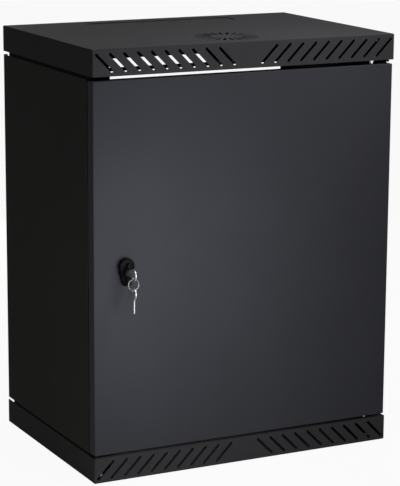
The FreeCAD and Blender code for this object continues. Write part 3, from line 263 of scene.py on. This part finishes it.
class Build:
    """Vertices and faces of one piece, gathered from several simple shapes."""

    def __init__(self):
        self.verts = []
        self.faces = []

    def rings(self, rings, joined=False):
        """Skin a run of rings that have equal numbers of points, with ends or joined into a loop."""
        first = len(self.verts)
        count = len(rings[0])
        for ring in rings:
            self.verts.extend(ring)
        rows = len(rings) if joined else len(rings) - 1
        for row in range(rows):
            a = first + row * count
            b = first + ((row + 1) % len(rings)) * count
            for i in range(count):
                j = (i + 1) % count
                self.faces.append((a + i, a + j, b + j, b + i))
        if not joined:
            last = first + (len(rings) - 1) * count
            self.faces.append(tuple(range(first, first + count)))
            self.faces.append(tuple(range(last + count - 1, last - 1, -1)))
        return self

    def lathe(self, profile, origin, axis, sides=40):
        """Turn (radius, height) pairs about an axis through the origin."""
        along = Vector(axis).normalized()
        across = along.orthogonal().normalized()
        third = along.cross(across)
        turns = [TAU * i / sides for i in range(sides)]
        ways = [across * math.cos(t) + third * math.sin(t) for t in turns]
        rings = []
        for radius, height in profile:
            centre = Vector(origin) + along * height
            rings.append([centre + way * max(radius, 1e-6) for way in ways])
        return self.rings(rings)

    def tube(self, path, radius, sides=10):
        """A round wire along a path of points, square to the path at every point."""
        turns = [TAU * i / sides for i in range(sides)]
        rings = []
        side = None
        for i, point in enumerate(path):
            before, after = path[max(i - 1, 0)], path[min(i + 1, len(path) - 1)]
            along = (after - before).normalized()
            side = along.orthogonal() if side is None else side
            side = (side - along * side.dot(along)).normalized()
            up = along.cross(side)
            rings.append([point + (side * math.cos(t) + up * math.sin(t)) * radius for t in turns])
        return self.rings(rings)

    def plate(self, loops, origin, across, up, thickness):
        """A flat plate from an outline and its holes, thickened evenly about its plane."""
        flat = bmesh.new()
        edges = []
        for loop in loops:
            made = [flat.verts.new((x, y, -thickness / 2)) for x, y in loop]
            edges += [flat.edges.new((made[i], made[(i + 1) % len(made)])) for i in range(len(made))]
        bmesh.ops.triangle_fill(flat, use_beauty=True, use_dissolve=False, edges=edges)
        raised = bmesh.ops.extrude_face_region(flat, geom=flat.faces[:], use_keep_orig=True)
        for item in raised["geom"]:
            if isinstance(item, bmesh.types.BMVert):
                item.co.z += thickness
        bmesh.ops.recalc_face_normals(flat, faces=flat.faces)
        across, up = Vector(across), Vector(up)
        normal = across.cross(up)
        first = len(self.verts)
        flat.verts.index_update()
        self.verts += [Vector(origin) + across * v.co.x + up * v.co.y + normal * v.co.z for v in flat.verts]
        self.faces += [tuple(first + v.index for v in face.verts) for face in flat.faces]
        flat.free()
        return self

    def finish(self, name, body, slot_name, nodes=(), smooth=40.0, bevel=0.0):
        return piece(name, self.verts, self.faces, body, slot_name, nodes, smooth, bevel)


def arc(centre, radius, start, end, steps):
    """Points on an arc in a plane, from start to end in radians."""
    turns = [start + (end - start) * i / steps for i in range(steps + 1)]
    return [(centre[0] + radius * math.cos(t), centre[1] + radius * math.sin(t)) for t in turns]


def circle(centre, radius, count):
    """The points of a closed circle, each given once."""
    return arc(centre, radius, 0, TAU * (count - 1) / count, count - 1)


def in_metres(pairs):
    """Pairs of millimetres as pairs of metres."""
    return [(a * MM, b * MM) for a, b in pairs]


# ================================================================ places from the frame
joints = {joint["name"]: joint for joint in frame["joints"]}
pin_x, pin_y, _ = joints["door_hinge"]["pos_m"]
lock_x, door_face, lock_z = joints["knob_turn"]["pos_m"]


def lock_point(x, y, z):
    """A point given in millimetres from the lock's axis on the door's front face."""
    return Vector((lock_x + x * MM, door_face + y * MM, lock_z + z * MM))


# ================================================================ lock
BOW = 11.0  # radius of a key's round bow, in millimetres


def egg(inset):
    """The knob's outline: a round top that narrows to a flat foot."""
    top, rise, foot, drop = 14.5 - inset, 10.0, 7.5 - inset, 24.5 - inset
    corner = max(3.6 - inset, 0.6)
    lean = math.asin((top - foot) / (drop + rise))
    points = arc((0, rise), top, math.pi + lean, -lean, 44)
    points += arc((foot - corner, -drop + corner), corner, -lean, -math.pi / 2, 8)
    points += arc((corner - foot, -drop + corner), corner, -math.pi / 2, lean - math.pi, 8)
    return points


def ridge(inset):
    """The grip that runs down the knob, wider towards its foot."""
    top, foot, high, low, corner = 3.5 - inset, 5.0 - inset, 17.2 - inset, 21.0 - inset, 2.0
    points = arc((0, high - top), top, math.pi, 0, 14)
    points += arc((foot - corner, -low + corner), corner, 0, -math.pi / 2, 6)
    points += arc((corner - foot, -low + corner), corner, -math.pi / 2, -math.pi, 6)
    return points


def level(outline, inset, y):
    """An outline drawn in by inset, at a distance from the door's front face."""
    return [lock_point(x, y, z) for x, z in outline(inset)]


def rounded_rim(outline, radius, top, steps):
    """Rings that round an outline's rim over to its top along a quarter circle."""
    turns = [math.pi / 2 * i / steps for i in range(steps + 1)]
    return [level(outline, radius * (1 - math.cos(t)), top + radius * (1 - math.sin(t))) for t in turns]


def lock_knob():
    """The knob with its grip, the round nose that holds the plug, and the spindle behind."""
    body = Build()
    back, face, crest = -4.3, -14.3, -21.3
    rings = [level(egg, 0.5, back), level(egg, 0.0, back - 0.6)]
    rings += rounded_rim(egg, 3.6, face + 0.35, 8)
    rings.append(level(egg, 6.5, face + 0.05))
    body.rings(rings)
    rings = [level(ridge, -1.8, face + 0.6), level(ridge, -0.7, face - 0.5), level(ridge, 0.0, face - 2.0)]
    rings += rounded_rim(ridge, 1.8, crest, 5)
    body.rings(rings)
    nose, foot, end, lip, bore = 9.5, 14.0, 23.3, 1.1, 6.1
    profile = [(nose + 0.9, foot), (nose, foot + 1.6)]
    profile += arc((nose - lip, end - lip), lip, 0, math.pi / 2, 5)
    profile += [(bore + 0.5, end), (bore, end - 0.6), (bore, foot)]
    body.lathe(in_metres(profile), lock_point(0, 0, 0), (0, -1, 0), 56)
    shaft, shoulder, neck, tip = 7.0, 28.0, 4.5, 34.0
    spindle = [(shaft, back), (shaft, shoulder), (neck, shoulder), (neck, tip - 0.6), (neck - 0.6, tip)]
    body.lathe(in_metres(spindle), lock_point(0, 0, 0), (0, 1, 0))
    body.finish("knob_grip", "knob", "knob_plastic", ["lock_knob"], 50.0)


def lock_plug():
    """The plug's face with a keyway round the blade, and the cylinder behind it."""
    body = Build()
    radius, front, thickness = 5.9, 22.0, 1.2
    slot, reach = 1.1, 3.9
    keyway = [(-slot, -reach), (slot, -reach), (slot, reach), (-slot, reach)]
    loops = [in_metres(circle((0, 0), radius, 48)), in_metres(keyway)]
    body.plate(loops, lock_point(0, thickness / 2 - front, 0), (1, 0, 0), (0, 0, 1), thickness * MM)
    end, bore = 20.6, 2.0
    cylinder = [(radius, 2.0), (radius, end), (bore, end), (bore, 3.0)]
    body.lathe(in_metres(cylinder), lock_point(0, 0, 0), (0, -1, 0), 48)
    body.finish("plug_face", "plug", "plug_chrome", ["lock_plug"], 40.0, 0.12 * MM)


def key_outline():
    """A round bow, a collar and a blade with cuts; the bow's centre is the origin."""
    neck, blade, tip, collar, shoulder = 4.4, 3.6, 36.0, 12.6, 13.4
    first_cut, cut_pitch, cut_depths = 16.5, 3.0, (1.0, 1.9, 0.7, 1.6, 1.2)
    opening = math.asin(neck / BOW)
    points = arc((0, 0), BOW, opening, TAU - opening, 48)
    points += [(collar, -neck), (shoulder, -blade)]
    for i, depth in enumerate(cut_depths):
        at = first_cut + cut_pitch * i
        bottom = depth - blade
        points += [(at - 1.2, -blade), (at - 0.4, bottom), (at + 0.6, bottom), (at + 1.4, -blade)]
    points += [(tip - 2.6, -blade), (tip, -0.6), (tip, 0.6), (tip - 2.2, blade)]
    points += [(shoulder, blade), (collar, neck)]
    return points


def key(name, body_name, node, centre, blade_way, up_way, hole_at):
    """A flat key; hole_at is the bow's hole, from the bow's centre in the key's own plane."""
    thickness, hole = 1.9, 2.42
    body = Build()
    loops = [in_metres(key_outline()), in_metres(circle(hole_at, hole, 24))]
    body.plate(loops, centre, blade_way, up_way, thickness * MM)
    body.finish(name, body_name, "key_nickel", [node], 30.0, 0.25 * MM)


def both_keys():
    """The key in the plug, and the spare key that hangs from the ring."""
    hole_offset = 5.7
    bow_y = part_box("key")[0].y + BOW * MM
    lock_bow = Vector((lock_x, bow_y, lock_z))
    spare_bow = Vector((lock_x, bow_y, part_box("spare_key")[1].z - BOW * MM))
    key("lock_key", "plug", "key", lock_bow, (0, 1, 0), (0, 0, 1), (0, -hole_offset))
    key("hanging_key", "spare", "spare_key", spare_bow, (0, 0, -1), (0, -1, 0), (-hole_offset, 0))


def split_ring():
    """Two turns of round wire that lie side by side and cross over near the end of the first."""
    low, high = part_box("key_ring")
    centre = (low + high) / 2
    radius = (high.z - low.z) / 2 - 0.75 * MM
    wire, rise, turns, steps = 0.58 * MM, 1.18 * MM, 2.06, 56
    start, cross_at, cross_over = -0.6, 0.9, 0.2
    path = []
    for i in range(int(steps * turns) + 1):
        angle = start + TAU * i / steps
        crossed = min(max((i / steps - cross_at) / cross_over, 0), 1)
        across = (crossed - 0.5) * rise
        path.append(centre + Vector((radius * math.sin(angle), across, radius * math.cos(angle))))
    Build().tube(path, wire).finish("split_ring", "ring", "ring_steel", ["key_ring"])


lock_knob()
lock_plug()
both_keys()
split_ring()


# ================================================================ hinge
def hinge_spring():
    """A coil spring with closed ends, given a mesh of its own."""
    low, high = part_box("hinge_spring")
    height = high.z - low.z
    wire, turns, closed, steps = 0.55 * MM, 6.5, 0.9, 26
    thick = 2 * wire
    radius = (high.x - low.x) / 2 - wire
    open_height = height - thick - 2 * closed * thick
    path = []
    for i in range(int(turns * steps) + 1):
        turn = i / steps
        ends = (min(turn, closed) + max(turn - turns + closed, 0)) * thick
        opened = min(max((turn - closed) / (turns - 2 * closed), 0), 1) * open_height
        path.append(Vector((pin_x + radius * math.cos(TAU * turn), pin_y + radius * math.sin(TAU * turn),
                            low.z + wire + ends + opened)))
    coil = Build().tube(path, wire, 8).finish("coil_spring", "door", "spring_steel", ["hinge_spring"])
    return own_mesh(coil)


def sprung_pin():
    """The upper hinge pin, turned with chamfered ends and a collar, and its grip rod."""
    low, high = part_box("upper_hinge_pin")
    radius, chamfer, collar, soft = 3.0 * MM, 0.8 * MM, 5.0 * MM, 0.3 * MM
    gap, thickness = 0.3 * MM, 2.0 * MM
    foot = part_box("hinge_spring")[1].z + gap
    top = foot + thickness
    heights = [(radius - chamfer, low.z), (radius, low.z + chamfer), (radius, foot),
               (collar - soft, foot), (collar, foot + soft), (collar, top - soft), (collar - soft, top),
               (radius, top), (radius, high.z - chamfer), (radius - chamfer, high.z)]
    body = Build().lathe(heights, (pin_x, pin_y, 0), (0, 0, 1), 32)
    rod, rod_chamfer = 2.0 * MM, 0.5 * MM
    grip = low.z + 4 * MM
    reach = pin_x - low.x
    body.lathe([(rod, 0), (rod, reach - rod_chamfer), (rod - rod_chamfer, reach)],
               (pin_x, pin_y, grip), (-1, 0, 0), 24)
    body.finish("sprung_pin", "hinge_pin", "pin_chrome", ["upper_hinge_pin"], 35.0)


hinge_spring()
sprung_pin()


# ================================================================ threaded fasteners
def thread(radius, start, end, pitch):
    """Radii and heights of a threaded shank with a chamfered tip, given in millimetres."""
    depth, tip = 0.35, 0.5
    root = radius - depth
    heights = [(radius - 0.1, start)]
    for i in range(int((end - start - 2 * tip) / pitch)):
        heights += [(root, start + (i + 0.5) * pitch), (radius - 0.02, start + (i + 1.0) * pitch)]
    heights += [(root, end - tip), (root - tip, end)]
    return in_metres(heights)


def hexagon_nut(body, centre, way, bore, height):
    """A 10 mm hexagon nut with chamfered corners and an open bore, given in millimetres."""
    flats, chamfer, sides = 10.0, 0.42, 24
    face = flats / 2 - 0.1
    along = Vector(way).normalized()
    across = along.orthogonal().normalized()
    third = along.cross(across)

    def ring(rise, size=None):
        """A round ring of that size, or the hexagon where no size is given."""
        found = []
        for i in range(sides):
            angle = TAU * i / sides
            radius = size or flats / 2 / math.cos(angle % (TAU / 6) - TAU / 12)
            found.append(centre + (across * math.cos(angle) + third * math.sin(angle)) * radius * MM
                         + along * rise * MM)
        return found

    body.rings([ring(0, bore), ring(0, face), ring(chamfer), ring(height - chamfer), ring(height, face),
                ring(height, bore)], joined=True)


def fasteners(prefix, axis, inward, shank, edge, pitch, shoulder=0.0):
    """Weld studs at the four corners of their group's box, each with its nut.

    The studs run along the axis with index axis, in the direction inward, 1 or -1. In millimetres:
    shank is the thread's radius, edge the distance from the box to a stud's axis, and shoulder the
    length of a plain foot with the radius edge.
    """
    studs, nuts = Build(), Build()
    low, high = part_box(prefix + "_studs")
    nut_low, nut_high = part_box(prefix + "_nuts")
    root, seat = (low, nut_low) if inward > 0 else (high, nut_high)
    length, nut_height = (high - low)[axis] / MM, (nut_high - nut_low)[axis] / MM
    way = Vector((0, 0, 0))
    way[axis] = inward
    first, second = [i for i in range(3) if i != axis]
    for a in (low[first] + edge * MM, high[first] - edge * MM):
        for b in (low[second] + edge * MM, high[second] - edge * MM):
            place = Vector((0, 0, 0))
            place[first], place[second], place[axis] = a, b, root[axis]
            if shoulder:
                studs.lathe(in_metres([(edge, 0), (edge, shoulder)]), place, way, 24)
            studs.lathe(thread(shank, shoulder, length, pitch), place, way, 20)
            nut_place = place.copy()
            nut_place[axis] = seat[axis]
            hexagon_nut(nuts, nut_place, way, shank, nut_height)
    studs.finish(prefix + "_weld_studs", "cabinet", "zinc", [prefix + "_studs"], 30.0)
    nuts.finish(prefix + "_hex_nuts", "cabinet", "zinc", [prefix + "_nuts"], 30.0)


fasteners("lid", axis=2, inward=-1, shank=3.0, edge=3.0, pitch=1.0)
fasteners("base", axis=2, inward=1, shank=3.0, edge=3.0, pitch=1.0)
fasteners("left_panel", axis=0, inward=1, shank=2.5, edge=4.5, pitch=0.8, shoulder=1.5)
fasteners("right_panel", axis=0, inward=-1, shank=2.5, edge=4.5, pitch=0.8, shoulder=1.5)


# ================================================================ camera, lights, stage
def camera():
    """The photograph's viewpoint, from a fit with the cabinet's own corners."""
    data = bpy.data.cameras.new("camera")
    made = bpy.data.objects.new("camera", data)
    bpy.context.scene.collection.objects.link(made)
    data.lens = 149.3
    data.sensor_width = 36.0
    place = (-1.6686, -3.308, 1.1847)
    yaw, pitch, roll = math.radians(26.905), math.radians(-12.432), math.radians(0.343)
    forward = Vector((math.sin(yaw) * math.cos(pitch), math.cos(yaw) * math.cos(pitch), math.sin(pitch)))
    right = Vector((math.cos(yaw), -math.sin(yaw), 0))
    up = right.cross(forward)
    tilted_right = right * math.cos(roll) + up * math.sin(roll)
    tilted_up = up * math.cos(roll) - right * math.sin(roll)
    turn = Matrix((tilted_right, tilted_up, -forward)).transposed().to_4x4()
    made.matrix_world = Matrix.Translation(place) @ turn
    bpy.context.scene.camera = made


def area_light(name, at, aim, width, height, power):
    """A white rectangular lamp at a place, aimed at a point and hidden from the camera."""
    data = bpy.data.lights.new(name, "AREA")
    data.shape = "RECTANGLE"
    data.size, data.size_y = width, height
    data.energy = power
    made = bpy.data.objects.new(name, data)
    bpy.context.scene.collection.objects.link(made)
    away = (Vector(aim) - Vector(at)).normalized()
    made.matrix_world = Matrix.Translation(at) @ away.to_track_quat("-Z", "Y").to_matrix().to_4x4()
    made.visible_camera = False


def background_rays(tree):
    """1 for camera, transmission and glossy rays, which see a white background, and 0 for the rest."""
    rays = add(tree, "ShaderNodeLightPath").outputs
    seen = rays["Is Camera Ray"]
    for kind in ("Is Transmission Ray", "Is Glossy Ray"):
        either = add(tree, "ShaderNodeMath", {"operation": "MAXIMUM"}, i0=seen, i1=rays[kind])
        seen = either.outputs["Value"]
    return seen


def world():
    """White as a background, and a dim even studio as a light."""
    made = bpy.data.worlds.new("studio")
    bpy.context.scene.world = made
    made.use_nodes = True
    tree = made.node_tree
    tree.nodes.clear()
    white = add(tree, "ShaderNodeBackground", Color=(1, 1, 1, 1), Strength=1.0)
    dim = add(tree, "ShaderNodeBackground", Color=(1, 1, 1, 1), Strength=0.075)
    mixed = add(tree, "ShaderNodeMixShader", i0=background_rays(tree), i1=dim.outputs["Background"],
                i2=white.outputs["Background"])
    add(tree, "ShaderNodeOutputWorld", Surface=mixed.outputs["Shader"])


def floor():
    """A pale floor just under the cabinet that fades into the background and keeps a faint shadow."""
    bpy.ops.mesh.primitive_plane_add(size=70.0, location=(0, 0, -0.5 * MM))
    made = bpy.context.object
    made.name = "floor"
    material, tree, surface = shader("pale_floor", (0.66, 0.66, 0.66), 0.8, specular=0.1)
    share = add(tree, "ShaderNodeMath", {"operation": "MULTIPLY"}, i0=background_rays(tree), i1=0.94)
    glow = add(tree, "ShaderNodeEmission", Color=(1, 1, 1, 1), Strength=1.0)
    mixed = add(tree, "ShaderNodeMixShader", i0=share.outputs["Value"], i1=surface.outputs["BSDF"],
                i2=glow.outputs["Emission"])
    tree.links.new(mixed.outputs["Shader"], tree.nodes["Material Output"].inputs["Surface"])
    made.data.materials.append(material)


camera()
world()
floor()
area_light("key", (-0.24, -0.60, 0.38), (-0.26, -0.2, 0.38), 0.40, 0.28, 1.85)
area_light("top", (0.20, -0.60, 1.30), (0.1, -0.1, 0.77), 0.22, 0.22, 4.2)
area_light("right", (1.9, 0.02, 0.55), (0.3, 0, 0.40), 1.0, 0.8, 11.0)
area_light("back", (0.1, 2.0, 0.50), (0.1, 0.2, 0.40), 0.8, 0.8, 11.0)
bpy.context.scene.view_settings.view_transform = "Standard"
